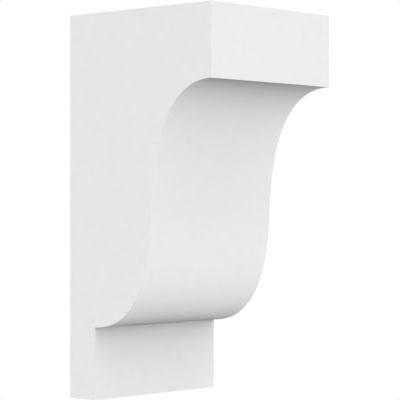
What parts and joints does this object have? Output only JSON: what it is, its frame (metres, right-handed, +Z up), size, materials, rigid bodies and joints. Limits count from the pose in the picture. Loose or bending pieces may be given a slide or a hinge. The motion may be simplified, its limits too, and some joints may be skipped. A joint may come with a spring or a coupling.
{
  "type": "corbel",
  "caption": "Plain wall corbel: a square head over a smooth S-curved belly that rolls under to a thin flat tail, flat on its back, sides and top.",
  "frame": {"origin": "centre of the flat back face that bears on the wall", "axes": "+Z up the wall, -Y out of the wall into the room, +X to the right as seen from the room"},
  "size_m": [0.1396, 0.1524, 0.3048],
  "materials": {
    "cellular_pvc": "smooth matt white board skin, the S curve cut and sanded to match"
  },
  "bodies": {
    "root": {"corbel": "cellular_pvc"}
  },
  "joints": []
}
